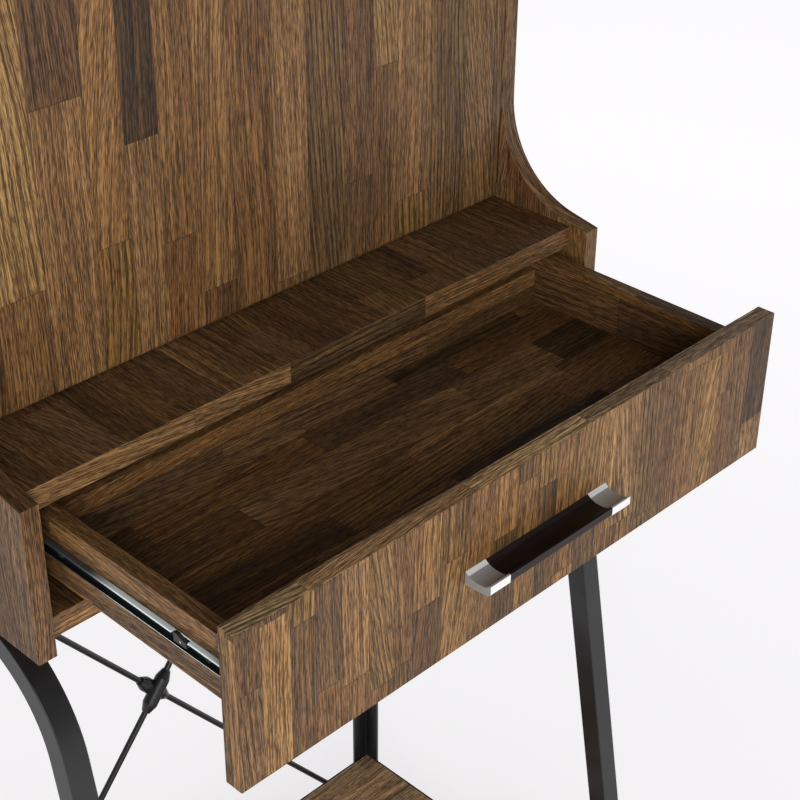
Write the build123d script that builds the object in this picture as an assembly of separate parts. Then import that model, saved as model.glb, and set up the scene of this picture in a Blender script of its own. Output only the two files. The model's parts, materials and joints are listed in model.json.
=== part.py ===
from build123d import *
import os
from math import atan2, cos, degrees, hypot, radians, sin, tan

# A straight drop-front desk: a wooden cabinet with one drawer and a fold-down leaf, on a steel frame
# with bent front legs, angle-steel rear legs, a crossed rod brace and a low shelf.
# Millimetres. +X is the desk's right, +Y its back, +Z up; the origin is on the floor, under the middle
# of the desk as it stands here: leaf shut, drawer pulled out.

# ---- driving dimensions ----
PANEL_T = 15.0  # side panels, drawer front, leaf and inner pieces
BOARD_T = 18.0  # shelf, bottom and top boards
FRONT_W = 543.0  # drawer front and leaf
SIDE_GAP = 1.5  # between the drawer front or the leaf and each side panel
CABINET_DEPTH = 276.0
CABINET_BOTTOM_Z = 745.0
DRAWER_FRONT_H = 123.0
LEAF_H = 399.5
BACK_T = 5.0
EDGE_R = 0.6  # eased edges of the boards

TOE_DEPTH = 97.0  # how far the side panels reach in front of the leaf
TOE_RISE_DEG = 10.0  # slope of the toe's top edge
TOE_ARC_R = 85.0

DRAWER_OPEN = 186.0  # the drawer front stands this far in front of the side panels
DRAWER_SIDE_T = 12.7
DRAWER_SIDE_H = 51.0
DRAWER_SIDE_L = 215.0
DRAWER_BACK_H = 37.0
DRAWER_RAISE = 51.0  # drawer sides above the drawer front's lower edge
DRAWER_FLOOR_T = 3.0
DRAWER_FLOOR_RAISE = 5.0  # drawer floor above the drawer sides' lower edge
GROOVE = 5.0

SLIDE_T = 12.7  # whole slide, from the side panel to the drawer side
SLIDE_L = 215.0
SLIDE_CENTRE_RAISE = 79.0  # above the drawer front's lower edge
CABINET_SLIDE_FROM = 17.5  # behind the side panels' front edges
RETAINER_FROM = 20.0  # the same, with the drawer pulled out
RETAINER_L = 20.0

TUBE = 20.0
TUBE_WALL = 2.0
TUBE_CORNER_R = 0.9
TUBE_BORE_R = 0.4
BEND_R = 111.7  # outside of the front legs' bend
BEND_START = 99.5  # behind the side panels' front edges
LEG_LEAN_DEG = 10.44
FRAME_HALF_W = 284.0  # outer faces of the front legs
FRAME_DEPTH = 273.5  # inner face of the rear legs' back flanges
ANGLE = 20.0
ANGLE_T = 2.5
ANGLE_ROOT_R = 1.5  # inner corner of the rear legs
RAIL_T = 2.0
LOW_SHELF_TOP_Z = 103.0
FOOT_T = 4.0
FOOT_PLUG_H = 12.0

ROD_R = 3.0
HUB_R = 7.5
HUB_HALF_L = 23.0
HUB_END_R = 4.2
HUB_TAPER_L = 9.0
HUB_ROUND_R = 6.0  # where a sleeve's taper begins
BRACE_HALF_W = 275.0
BRACE_BOTTOM_Z = 34.0
BRACE_TOP_Z = 716.0
ROD_STANDOFF = 3.2  # rods behind the rear legs' back faces
SLEEVE_FORWARD = 5.5  # the front sleeve stands in front of the rear one by this much
TAB_T = 3.0

HANDLE_W = 146.5
HANDLE_CAP_W = 19.7
HANDLE_REACH = 22.6
HANDLE_H = 10.8
HANDLE_TOP_RAISE = 62.8  # above the drawer front's lower edge
LEAF_HANDLE_DROP = 40.0  # below the leaf's top edge

PAST = 1.0  # a cutting tool runs this far past the face that it opens

# ---- places worked out from them ----
INNER_HALF_W = FRONT_W / 2 + SIDE_GAP
OUTER_HALF_W = INNER_HALF_W + PANEL_T
REAR_REACH = CABINET_DEPTH + ROD_STANDOFF + HUB_R
SIDE_FRONT_Y = (DRAWER_OPEN + HANDLE_REACH - REAR_REACH) / 2


def behind(distance):
    """Y of a place this far behind the side panels' front edges."""
    return SIDE_FRONT_Y + distance


FRONT_BOTTOM_Z = CABINET_BOTTOM_Z + 1
SHELF_TOP_Z = FRONT_BOTTOM_Z + DRAWER_FRONT_H + 1
LEAF_BOTTOM_Z = SHELF_TOP_Z + 1
LEAF_TOP_Z = LEAF_BOTTOM_Z + LEAF_H
TOP_BOARD_Z = LEAF_TOP_Z + 1.5
TOTAL_H = TOP_BOARD_Z + BOARD_T
BOARD_FRONT_Y = behind(PANEL_T + 2)
BACK_PANEL_Y = behind(CABINET_DEPTH - BACK_T)
LEAF_Y = behind(TOE_DEPTH)
INNER_FRONT_Y = LEAF_Y + PANEL_T + 12
INNER_SHELF_Z = SHELF_TOP_Z + 190

DRAWER_Y = behind(-DRAWER_OPEN)
DRAWER_BOX_Y = DRAWER_Y + PANEL_T
DRAWER_SIDE_Z = FRONT_BOTTOM_Z + DRAWER_RAISE
DRAWER_OUTER_X = INNER_HALF_W - SLIDE_T
DRAWER_INNER_X = DRAWER_OUTER_X - DRAWER_SIDE_T
DRAWER_BACK_Y = DRAWER_BOX_Y + DRAWER_SIDE_L - DRAWER_SIDE_T
DRAWER_FLOOR_Z = DRAWER_SIDE_Z + DRAWER_FLOOR_RAISE
DRAWER_TRAVEL = DRAWER_OPEN + 1.5

PIVOT_INSET = 5.0
PIVOT_Y = LEAF_Y + PIVOT_INSET
PIVOT_Z = LEAF_BOTTOM_Z + PIVOT_INSET
PIN_R = 2.0
PIN_DEPTH = 8.0  # in the side panel
PIN_L = 20.0
BUSH_R = 3.75
BUSH_L = 11.0
PIN_CLEARANCE = 0.05

FRAME_BACK_Y = behind(FRAME_DEPTH) + ANGLE_T
RAIL_Z = LOW_SHELF_TOP_Z - TUBE
ROD_Y = FRAME_BACK_Y + ROD_STANDOFF
BRACE_MID_Z = (BRACE_BOTTOM_Z + BRACE_TOP_Z) / 2
BRACE_SLOPE_DEG = degrees(atan2(BRACE_TOP_Z - BRACE_MID_Z, BRACE_HALF_W))
BRACE_HALF_L = hypot(BRACE_TOP_Z - BRACE_MID_Z, BRACE_HALF_W)

# leaning straight of a front leg: its front face passes through this point
LEAN_END_Y = behind(BEND_START) - BEND_R * cos(radians(LEG_LEAN_DEG))
LEAN_END_Z = CABINET_BOTTOM_Z - BEND_R * (1 - sin(radians(LEG_LEAN_DEG)))


def leg_front_y(z):
    """Y of the leaning straight's front face at height z."""
    return LEAN_END_Y - (LEAN_END_Z - z) * tan(radians(LEG_LEAN_DEG))


SHELF_FRONT_Y = leg_front_y(LOW_SHELF_TOP_Z) + TUBE / cos(radians(LEG_LEAN_DEG))
SHELF_BACK_Y = behind(FRAME_DEPTH)


# ---- plain shapes ----
def block(x0, x1, y0, y1, z0, z1, ease=0.0):
    """A box between two corners, its edges eased by a small radius."""
    lows = (min(x0, x1), min(y0, y1), min(z0, z1))
    box = Pos(*lows) * Box(abs(x1 - x0), abs(y1 - y0), abs(z1 - z0), align=(Align.MIN,) * 3)
    return fillet(box.edges(), ease) if ease else box


def rod_x(x0, x1, y, z, r):
    """A round bar along X."""
    bar = Cylinder(r, abs(x1 - x0), align=(Align.CENTER, Align.CENTER, Align.MIN))
    return Pos(min(x0, x1), y, z) * Rot(0, 90, 0) * bar


def rod_y(y0, y1, x, z, r):
    """A round bar along Y."""
    bar = Cylinder(r, abs(y1 - y0), align=(Align.CENTER, Align.CENTER, Align.MIN))
    return Pos(x, min(y0, y1), z) * Rot(-90, 0, 0) * bar


def rod_z(z0, z1, x, y, r):
    """A round bar along Z."""
    bar = Cylinder(r, abs(z1 - z0), align=(Align.CENTER, Align.CENTER, Align.MIN))
    return Pos(x, y, min(z0, z1)) * bar


def along_x(face, x0, x1):
    """A profile drawn in (Y, Z), run from x0 to x1."""
    low = min(x0, x1)
    return Pos(low, 0, 0) * extrude(Plane.YZ * face, abs(x1 - x0))


def along_y(face, y0, y1):
    """A profile drawn in (X, Z), run from y0 to y1."""
    return Pos(0, max(y0, y1), 0) * extrude(Plane.XZ * face, abs(y1 - y0))


def mirrored(part):
    return mirror(part, about=Plane.YZ)


NODES = {}


def add(name, *solids):
    NODES[name] = solids[0] if len(solids) == 1 else Compound(children=list(solids))


def add_pair(name, left):
    """A left-hand piece and its right-hand mirror image."""
    add("left_" + name, left)
    add("right_" + name, mirrored(left))


# ---- joining pieces of the cabinet: where they are decides the holes in their neighbours ----
DOWEL_R = 4.0
DOWEL_IN_PANEL = 9.0
DOWEL_IN_BOARD = 19.0
DOWEL_INSET = 35.0  # from a board's front and back edges
BACK_SCREW_R = 1.5
BACK_SCREW_L = 14.0
BACK_SCREW_HEAD_R = 3.5
BACK_SCREW_HEAD_T = 1.5
BACK_SCREW_X = (-180.0, 0.0, 180.0)
FRAME_BOLT_X = 278.0
FRAME_BOLT_R = 2.5
FRAME_BOLT_L = 50.0
FRAME_BOLT_Y = (behind(130), behind(205))
FRAME_BOLT_HEAD_R = 4.5
FRAME_BOLT_HEAD_T = 4.0

# each board's middle height and the Y of its front edge
BOARD_PLACES = {
    "bottom": (CABINET_BOTTOM_Z + BOARD_T / 2, BOARD_FRONT_Y),
    "shelf": (SHELF_TOP_Z - BOARD_T / 2, BOARD_FRONT_Y),
    "top": (TOP_BOARD_Z + BOARD_T / 2, LEAF_Y),
    "inner": (INNER_SHELF_Z + PANEL_T / 2, INNER_FRONT_Y),
}


def board_dowels():
    """Dowels between the left side panel and the board ends."""
    reach = (-INNER_HALF_W - DOWEL_IN_PANEL, -INNER_HALF_W + DOWEL_IN_BOARD)
    return [
        rod_x(*reach, y, z, DOWEL_R)
        for z, front_y in BOARD_PLACES.values()
        for y in (front_y + DOWEL_INSET, BACK_PANEL_Y - DOWEL_INSET)
    ]


def back_screws(grow=0.0):
    """Screw shanks through the back panel into the three main boards."""
    y0 = behind(CABINET_DEPTH) - BACK_SCREW_L
    y1 = behind(CABINET_DEPTH) + grow
    levels = [BOARD_PLACES[name][0] for name in ("bottom", "shelf", "top")]
    return [rod_y(y0, y1, x, z, BACK_SCREW_R) for z in levels for x in BACK_SCREW_X]


def frame_bolt_shanks():
    """Bolt shanks through the left leg's level run into the left side panel."""
    z0 = CABINET_BOTTOM_Z - TUBE
    return [rod_z(z0, z0 + FRAME_BOLT_L, -FRAME_BOLT_X, y, FRAME_BOLT_R) for y in FRAME_BOLT_Y]


# ---- drawer slides, drawn for the left side: u runs from the side panel to the drawer ----
CABINET_SLIDE = {"u0": 0.0, "u1": 10.5, "half_h": 8.5, "wall": 1.2}
RETAINER = {"u0": 6.8, "u1": 10.0, "half_h": 6.2, "wall": 0.5}
DRAWER_SLIDE = {"u0": 8.4, "u1": SLIDE_T, "half_h": 4.6, "wall": 1.0}
SLIDE_Z = FRONT_BOTTOM_Z + SLIDE_CENTRE_RAISE
SLIDE_SCREW_R = 1.75
SLIDE_SCREW_HEAD_R = 3.0
SLIDE_SCREW_HEAD_T = 1.3
SLIDE_SCREW_L = 10.0
BALL_R = 1.15
BALL_U = 9.0
BALL_PITCH = 6.5
CABINET_SCREW_Y = (behind(CABINET_SLIDE_FROM + 35), behind(CABINET_SLIDE_FROM + 165))
DRAWER_SCREW_Y = (DRAWER_BOX_Y + 22, DRAWER_BOX_Y + 170)


def slide_x(u):
    return -INNER_HALF_W + u


def channel(shape, y0, y1, open_to_cabinet=False):
    """A rolled channel along Y with round outer corners and a web on one side."""
    wall = shape["wall"]
    width = shape["u1"] - shape["u0"]
    height = 2 * shape["half_h"]
    mid = (slide_x((shape["u0"] + shape["u1"]) / 2), SLIDE_Z)
    shift = -wall if open_to_cabinet else wall
    hollow = Pos(shift, 0) * Rectangle(width, height - 2 * wall)
    corner_r = 0.9 * wall
    flat = RectangleRounded(width, height, corner_r) - hollow
    return along_y(Pos(*mid) * flat, y0, y1)


def slide_screws(towards, u_web, ys):
    """Pan-head screws along X through a slide's web; towards is -1 into the panel, 1 into the drawer."""
    web_x = slide_x(u_web)
    screws = []
    for y in ys:
        shank = rod_x(web_x, web_x + towards * SLIDE_SCREW_L, y, SLIDE_Z, SLIDE_SCREW_R)
        head = rod_x(web_x, web_x - towards * SLIDE_SCREW_HEAD_T, y, SLIDE_Z, SLIDE_SCREW_HEAD_R)
        screws.append(shank + head)
    return screws


def ball_retainer(y0):
    """A short strip with three balls above and three below, between the two members."""
    strip = channel(RETAINER, y0, y0 + RETAINER_L)
    ball_raise = RETAINER["half_h"] - RETAINER["wall"] / 2
    for step in (-1, 0, 1):
        for side in (-1, 1):
            place = Pos(slide_x(BALL_U), y0 + RETAINER_L / 2 + step * BALL_PITCH, SLIDE_Z + side * ball_raise)
            strip += place * Sphere(BALL_R)
    return strip


CABINET_SLIDE_SCREWS = slide_screws(-1, CABINET_SLIDE["wall"], CABINET_SCREW_Y)
DRAWER_SLIDE_SCREWS = slide_screws(1, SLIDE_T - DRAWER_SLIDE["wall"], DRAWER_SCREW_Y)


# ---- cabinet ----
def side_outline():
    """Side panel seen from the side: a low toe that sweeps up to the leaf's face."""
    rise = radians(TOE_RISE_DEG)
    ramp_end = TOE_DEPTH - TOE_ARC_R * (1 - sin(rise))
    front, back = SIDE_FRONT_Y, behind(CABINET_DEPTH)
    low = Polyline((front, CABINET_BOTTOM_Z), (front, SHELF_TOP_Z),
                   (front + ramp_end, SHELF_TOP_Z + ramp_end * tan(rise)))
    centre = (LEAF_Y - TOE_ARC_R, (low @ 1).Y + TOE_ARC_R * cos(rise))
    sweep_up = CenterArc(centre, TOE_ARC_R, TOE_RISE_DEG - 90, 90 - TOE_RISE_DEG)
    rest = Polyline(sweep_up @ 1, (LEAF_Y, TOTAL_H), (back, TOTAL_H),
                    (back, CABINET_BOTTOM_Z), (front, CABINET_BOTTOM_Z))
    return make_face(low + sweep_up + rest)


def side_panel():
    """Left side panel with its blind holes."""
    panel = along_x(side_outline(), -OUTER_HALF_W, -INNER_HALF_W)
    panel = fillet(panel.edges(), EDGE_R)
    pin_hole = rod_x(-INNER_HALF_W - PIN_DEPTH, -INNER_HALF_W + PAST, PIVOT_Y, PIVOT_Z, PIN_R)
    for tool in board_dowels() + frame_bolt_shanks() + CABINET_SLIDE_SCREWS + [pin_hole]:
        panel -= tool
    return panel


def cabinet_board(y0, z0, thickness):
    """A board between the side panels, drilled for dowels and back screws."""
    board = block(-INNER_HALF_W, INNER_HALF_W, y0, BACK_PANEL_Y, z0, z0 + thickness, EDGE_R)
    dowels = board_dowels()
    for tool in dowels + [mirrored(d) for d in dowels] + back_screws():
        board -= tool
    return board


def back_panel():
    panel = block(-INNER_HALF_W, INNER_HALF_W, BACK_PANEL_Y, behind(CABINET_DEPTH), CABINET_BOTTOM_Z, TOTAL_H)
    for tool in back_screws(PAST):
        panel -= tool
    return panel


def back_screw(shank):
    """A back screw: its shank and its pan head."""
    y0 = behind(CABINET_DEPTH)
    middle = shank.center()
    return shank + rod_y(y0, y0 + BACK_SCREW_HEAD_T, middle.X, middle.Z, BACK_SCREW_HEAD_R)


add_pair("side_panel", side_panel())
add("shelf_board", cabinet_board(BOARD_FRONT_Y, SHELF_TOP_Z - BOARD_T, BOARD_T))
add("bottom_board", cabinet_board(BOARD_FRONT_Y, CABINET_BOTTOM_Z, BOARD_T))
add("top_board", cabinet_board(LEAF_Y, TOP_BOARD_Z, BOARD_T))
add("inner_shelf", cabinet_board(INNER_FRONT_Y, INNER_SHELF_Z, PANEL_T))
add("inner_divider", block(-PANEL_T / 2, PANEL_T / 2, INNER_FRONT_Y, BACK_PANEL_Y,
                           SHELF_TOP_Z, INNER_SHELF_Z, EDGE_R))
add("back_panel", back_panel())
dowels = board_dowels()
add("panel_dowels", *dowels, *[mirrored(d) for d in dowels])
add("back_panel_screws", *[back_screw(shank) for shank in back_screws()])

# ---- drawer slides: a ball retainer runs between the two members of each, and a release lever sits in
# each drawer member ----
LEVER_Y = DRAWER_BOX_Y + 46
LEVER_HALF_L = 6.0
LEVER_PIN_R = 1.0
LEVER_LOW = 1.6  # below the pin
LEVER_TOE = 1.8  # above it, at the front end
LEVER_HEEL = 5.2  # above it, at the back end
LEVER_HEEL_L = 2.5
LEVER_SLOT_HALF_L = 8.0
LEVER_SLOT_RAISE = 3.0
lever_x0 = slide_x(DRAWER_SLIDE["u0"] + 0.4)
lever_x1 = slide_x(DRAWER_SLIDE["u1"] - DRAWER_SLIDE["wall"] - 0.2)

cabinet_slide = channel(CABINET_SLIDE, behind(CABINET_SLIDE_FROM), behind(CABINET_SLIDE_FROM) + SLIDE_L)
drawer_slide = channel(DRAWER_SLIDE, DRAWER_BOX_Y, DRAWER_BOX_Y + SLIDE_L, open_to_cabinet=True)
for screw in CABINET_SLIDE_SCREWS:
    cabinet_slide -= screw
for screw in DRAWER_SLIDE_SCREWS:
    drawer_slide -= screw
slot_y = (LEVER_Y - LEVER_SLOT_HALF_L, LEVER_Y + LEVER_SLOT_HALF_L)
slot_z = (SLIDE_Z + LEVER_SLOT_RAISE, SLIDE_Z + DRAWER_SLIDE["half_h"] + PAST)
drawer_slide -= block(lever_x0 - PAST, lever_x1 + 0.1, *slot_y, *slot_z)
drawer_slide += rod_x(lever_x0 + 0.4, slide_x(SLIDE_T - 0.5), LEVER_Y, SLIDE_Z, LEVER_PIN_R)
lever_front = LEVER_Y - LEVER_HALF_L
lever_back = LEVER_Y + LEVER_HALF_L
lever_face = make_face(Polyline(
    (lever_front, SLIDE_Z - LEVER_LOW), (lever_back, SLIDE_Z - LEVER_LOW), (lever_back, SLIDE_Z + LEVER_HEEL),
    (lever_back - LEVER_HEEL_L, SLIDE_Z + LEVER_HEEL), (lever_front, SLIDE_Z + LEVER_TOE),
    (lever_front, SLIDE_Z - LEVER_LOW)))
lever = along_x(lever_face, lever_x0, lever_x1)
lever -= rod_x(lever_x0 - PAST, lever_x1 + PAST, LEVER_Y, SLIDE_Z, LEVER_PIN_R + PIN_CLEARANCE)
add_pair("cabinet_slide", cabinet_slide)
add_pair("ball_retainer", ball_retainer(behind(RETAINER_FROM)))
add_pair("drawer_slide", drawer_slide)
add_pair("release_lever", lever)
add("cabinet_slide_screws", *CABINET_SLIDE_SCREWS, *[mirrored(s) for s in CABINET_SLIDE_SCREWS])
add("drawer_slide_screws", *DRAWER_SLIDE_SCREWS, *[mirrored(s) for s in DRAWER_SLIDE_SCREWS])

# ---- handles: a flat bar pull with a troughed top, dark in the middle, with metal end caps ----
HANDLE_SCREW_R = 1.5
HANDLE_SCREW_HEAD_R = 1.9
HANDLE_SCREW_HEAD_T = 2.0
HANDLE_SCREW_X = (HANDLE_W - HANDLE_CAP_W) / 2
HANDLE_SCREW_RAISE = 2.0
HANDLE_SCREW_IN = 10.0
GRIP_SHRINK = 0.3  # the grip's section stands inside the caps' by this much
RIM = (3.0, 2.2)  # in front of the board and below the top: foot of the rear rim
TROUGH = (11.0, 4.0)  # the trough's lowest point
LIP_FOOT = (19.4, 2.6)  # foot of the front lip


def handle_face(y_face, z_top, shrink=0.0):
    """The pull's section: a rear rim, a shallow trough and a front lip with a bevelled underside."""
    bottom = z_top - HANDLE_H + shrink
    top = z_top - shrink
    lip = y_face - HANDLE_REACH + shrink
    rim, low, foot = [(y_face - forward, top - down) for forward, down in (RIM, TROUGH, LIP_FOOT)]
    front = Polyline(foot, (lip + 1.2, top - 0.4), (lip, top - 0.8), (lip, bottom + 3.6),
                     (lip + 2.4, bottom + 1.2), (y_face, bottom), (y_face, top), rim)
    return make_face(ThreePointArc(rim, low, foot) + front)


def handle_screws(y_face, z_top, reach=0.0):
    """Screws from behind the board into the two end caps."""
    z = z_top - HANDLE_H + HANDLE_SCREW_RAISE
    head_y = y_face + PANEL_T - HANDLE_SCREW_HEAD_T
    screws = []
    for x in (-HANDLE_SCREW_X, HANDLE_SCREW_X):
        head = rod_y(head_y, y_face + PANEL_T + reach, x, z, HANDLE_SCREW_HEAD_R)
        screws.append(rod_y(y_face - HANDLE_SCREW_IN, head_y, x, z, HANDLE_SCREW_R) + head)
    return screws


def add_handle(prefix, y_face, z_top):
    half = HANDLE_W / 2
    split = half - HANDLE_CAP_W
    cap = along_x(handle_face(y_face, z_top), -half, -split)
    for screw in handle_screws(y_face, z_top):
        cap -= screw
    add(prefix + "_grip", along_x(handle_face(y_face, z_top, GRIP_SHRINK), -split, split))
    add(prefix + "_left_cap", cap)
    add(prefix + "_right_cap", mirrored(cap))
    add(prefix + "_screws", *handle_screws(y_face, z_top))


# ---- drawer ----
DRAWER_DOWEL_R = 3.0
FRONT_DOWEL_RAISES = (12.0, 42.0)
BACK_DOWEL_RAISES = (14.0, 30.0)
DRAWER_HANDLE_Z = FRONT_BOTTOM_Z + HANDLE_TOP_RAISE
side_mid_x = (DRAWER_OUTER_X + DRAWER_INNER_X) / 2
back_mid_y = DRAWER_BACK_Y + DRAWER_SIDE_T / 2
drawer_dowels = [
    rod_y(DRAWER_BOX_Y - 9, DRAWER_BOX_Y + 15, -side_mid_x, DRAWER_SIDE_Z + up, DRAWER_DOWEL_R)
    for up in FRONT_DOWEL_RAISES
]
drawer_dowels += [
    rod_x(-DRAWER_OUTER_X + 4, -DRAWER_INNER_X + 16, back_mid_y, DRAWER_SIDE_Z + up, DRAWER_DOWEL_R)
    for up in BACK_DOWEL_RAISES
]
drawer_dowels += [mirrored(d) for d in drawer_dowels]
floor_panel = block(-DRAWER_INNER_X - GROOVE, DRAWER_INNER_X + GROOVE, DRAWER_BOX_Y - GROOVE,
                    DRAWER_BACK_Y + GROOVE, DRAWER_FLOOR_Z, DRAWER_FLOOR_Z + DRAWER_FLOOR_T)

drawer_front = block(-FRONT_W / 2, FRONT_W / 2, DRAWER_Y, DRAWER_BOX_Y, FRONT_BOTTOM_Z,
                     FRONT_BOTTOM_Z + DRAWER_FRONT_H, EDGE_R)
drawer_side = block(-DRAWER_OUTER_X, -DRAWER_INNER_X, DRAWER_BOX_Y, DRAWER_BOX_Y + DRAWER_SIDE_L,
                    DRAWER_SIDE_Z, DRAWER_SIDE_Z + DRAWER_SIDE_H, EDGE_R)
drawer_back = block(-DRAWER_INNER_X, DRAWER_INNER_X, DRAWER_BACK_Y, DRAWER_BACK_Y + DRAWER_SIDE_T,
                    DRAWER_SIDE_Z, DRAWER_SIDE_Z + DRAWER_BACK_H, EDGE_R)
for tool in drawer_dowels + [floor_panel]:
    drawer_front -= tool
    drawer_side -= tool
    drawer_back -= tool
for tool in handle_screws(DRAWER_Y, DRAWER_HANDLE_Z, PAST):
    drawer_front -= tool
for tool in DRAWER_SLIDE_SCREWS:
    drawer_side -= tool
add("drawer_front", drawer_front)
add_pair("drawer_side", drawer_side)
add("drawer_back", drawer_back)
add("drawer_bottom", floor_panel)
add("drawer_dowels", *drawer_dowels)
add_handle("handle", DRAWER_Y, DRAWER_HANDLE_Z)

# ---- drop leaf: it turns on two pins near its lower front corner, which is rounded about them ----
LEAF_HANDLE_Z = LEAF_TOP_Z - LEAF_HANDLE_DROP
CATCH_HALF_W = 22.0
CATCH_D = 18.0
CATCH_H = 12.0
CATCH_GAP = 0.3  # behind the leaf
STRIKE_HALF_W = 15.0
STRIKE_T = 1.0
STRIKE_H = 12.0
STRIKE_DROP = 2.0  # below the leaf's top edge
leaf_outline = block(-FRONT_W / 2, FRONT_W / 2, LEAF_Y, LEAF_Y + PANEL_T, LEAF_BOTTOM_Z, LEAF_TOP_Z)
front_edges = leaf_outline.edges().filter_by(Axis.X).group_by(Axis.Y)[0]
pivot_edge = front_edges.sort_by(Axis.Z)[0]
leaf = fillet(pivot_edge, PIVOT_INSET)
upper_edges = leaf.edges().group_by(Axis.Z)[-1]
leaf = fillet(upper_edges, EDGE_R)
strike = block(-STRIKE_HALF_W, STRIKE_HALF_W, LEAF_Y + PANEL_T - STRIKE_T, LEAF_Y + PANEL_T,
               LEAF_TOP_Z - STRIKE_DROP - STRIKE_H, LEAF_TOP_Z - STRIKE_DROP)
leaf_end = -FRONT_W / 2
bush_seat = rod_x(leaf_end - PAST, leaf_end + BUSH_L, PIVOT_Y, PIVOT_Z, BUSH_R)
bush = rod_x(leaf_end, leaf_end + BUSH_L, PIVOT_Y, PIVOT_Z, BUSH_R)
bush -= rod_x(leaf_end - PAST, leaf_end + BUSH_L + PAST, PIVOT_Y, PIVOT_Z, PIN_R + PIN_CLEARANCE)
pin = rod_x(-INNER_HALF_W - PIN_DEPTH, -INNER_HALF_W - PIN_DEPTH + PIN_L, PIVOT_Y, PIVOT_Z, PIN_R)
for tool in [strike, bush_seat, mirrored(bush_seat)] + handle_screws(LEAF_Y, LEAF_HANDLE_Z, PAST):
    leaf -= tool
add("drop_leaf", leaf)
add("leaf_bushes", bush, mirrored(bush))
add("leaf_pins", pin, mirrored(pin))
add("leaf_strike_plate", strike)
catch_y = LEAF_Y + PANEL_T + CATCH_GAP
add("leaf_catch", block(-CATCH_HALF_W, CATCH_HALF_W, catch_y, catch_y + CATCH_D,
                        TOP_BOARD_Z - CATCH_H, TOP_BOARD_Z, 1.0))
add_handle("leaf_handle", LEAF_Y, LEAF_HANDLE_Z)


# ---- frame: bent front legs, angle rear legs, low shelf and crossed rods ----
def leg_solid(inset, corner_r):
    """The left front leg's tube, or its bore: a level run, a bend and a leaning straight."""
    size = TUBE - 2 * inset
    mid_r = BEND_R - TUBE / 2
    level_z = CABINET_BOTTOM_Z - TUBE / 2
    lean = radians(LEG_LEAN_DEG)
    start_y = behind(FRAME_DEPTH)
    level = Line((0, start_y, level_z), (0, behind(BEND_START), level_z))
    bend_end = (0, behind(BEND_START) - mid_r * cos(lean), level_z - mid_r * (1 - sin(lean)))
    bend = TangentArc((0, behind(BEND_START), level_z), bend_end, tangent=(0, -1, 0))
    drop = (bend_end[2] + TUBE) / cos(lean)
    straight = Line(bend_end, (0, bend_end[1] - drop * sin(lean), bend_end[2] - drop * cos(lean)))
    start = Plane(origin=(0, start_y, level_z), x_dir=(1, 0, 0), z_dir=(0, -1, 0))
    section = start * RectangleRounded(size, size, corner_r)
    tube = sweep(section, path=Wire([level.edge(), bend.edge(), straight.edge()]))
    cut = block(-TUBE, TUBE, behind(-400), behind(CABINET_DEPTH), FOOT_T, CABINET_BOTTOM_Z)
    return Pos(-FRAME_HALF_W + TUBE / 2, 0, 0) * (tube & cut)


FOOT_RIM = 1.0  # feet stand out past the tubes and angles by this much
PLUG_SINK = 0.5  # plugs run down into their foot pads

leg_outer = leg_solid(0, TUBE_CORNER_R)
leg_bore = leg_solid(TUBE_WALL, TUBE_BORE_R)
front_leg = leg_outer - leg_bore
for tool in frame_bolt_shanks():
    front_leg -= tool
foot_front_y = leg_front_y(FOOT_T)
foot_back_y = foot_front_y + TUBE / cos(radians(LEG_LEAN_DEG))
front_foot = block(-FRAME_HALF_W - FOOT_RIM, -FRAME_HALF_W + TUBE + FOOT_RIM, foot_front_y - FOOT_RIM,
                   foot_back_y + FOOT_RIM, 0, FOOT_T, 1.0)
front_foot += leg_bore & block(-FRAME_HALF_W, -FRAME_HALF_W + TUBE, foot_front_y - TUBE, foot_back_y + TUBE,
                               FOOT_T - PLUG_SINK, FOOT_T + FOOT_PLUG_H)

rear_outer_x = FRAME_HALF_W + ANGLE_T
rear_leg = block(-rear_outer_x, -rear_outer_x + ANGLE, FRAME_BACK_Y - ANGLE_T, FRAME_BACK_Y,
                 FOOT_T, CABINET_BOTTOM_Z)
rear_leg += block(-rear_outer_x, -FRAME_HALF_W, FRAME_BACK_Y - ANGLE, FRAME_BACK_Y, FOOT_T, CABINET_BOTTOM_Z)


def leg_corner(x, y):
    """The rear leg's upright edge nearest to a place."""
    return rear_leg.edges().filter_by(Axis.Z).sort_by_distance((x, y, CABINET_BOTTOM_Z / 2))[0]


REAR_PLUG_W = 12.0
rear_leg = fillet([leg_corner(-FRAME_HALF_W, SHELF_BACK_Y)], ANGLE_ROOT_R)
rear_leg = fillet([leg_corner(-rear_outer_x, FRAME_BACK_Y)], ANGLE_T)
rear_foot = block(-rear_outer_x - FOOT_RIM, -rear_outer_x + ANGLE + FOOT_RIM, FRAME_BACK_Y - ANGLE - FOOT_RIM,
                  FRAME_BACK_Y + FOOT_RIM, 0, FOOT_T, 1.0)
rear_foot += block(-FRAME_HALF_W, -FRAME_HALF_W + REAR_PLUG_W, SHELF_BACK_Y - REAR_PLUG_W, SHELF_BACK_Y,
                   FOOT_T - PLUG_SINK, FOOT_T + FOOT_PLUG_H)
rear_foot -= rear_leg
front_leg -= rear_leg

# low shelf: angle rails round a board
rail_x = FRAME_HALF_W + RAIL_T
side_rail = block(-rail_x, -FRAME_HALF_W, SHELF_FRONT_Y - TUBE / 2, SHELF_BACK_Y, RAIL_Z, LOW_SHELF_TOP_Z)
side_rail += block(-rail_x, -rail_x + ANGLE, SHELF_FRONT_Y - TUBE / 2, SHELF_BACK_Y, RAIL_Z, RAIL_Z + RAIL_T)
side_rail = side_rail - leg_outer - rear_leg


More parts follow.
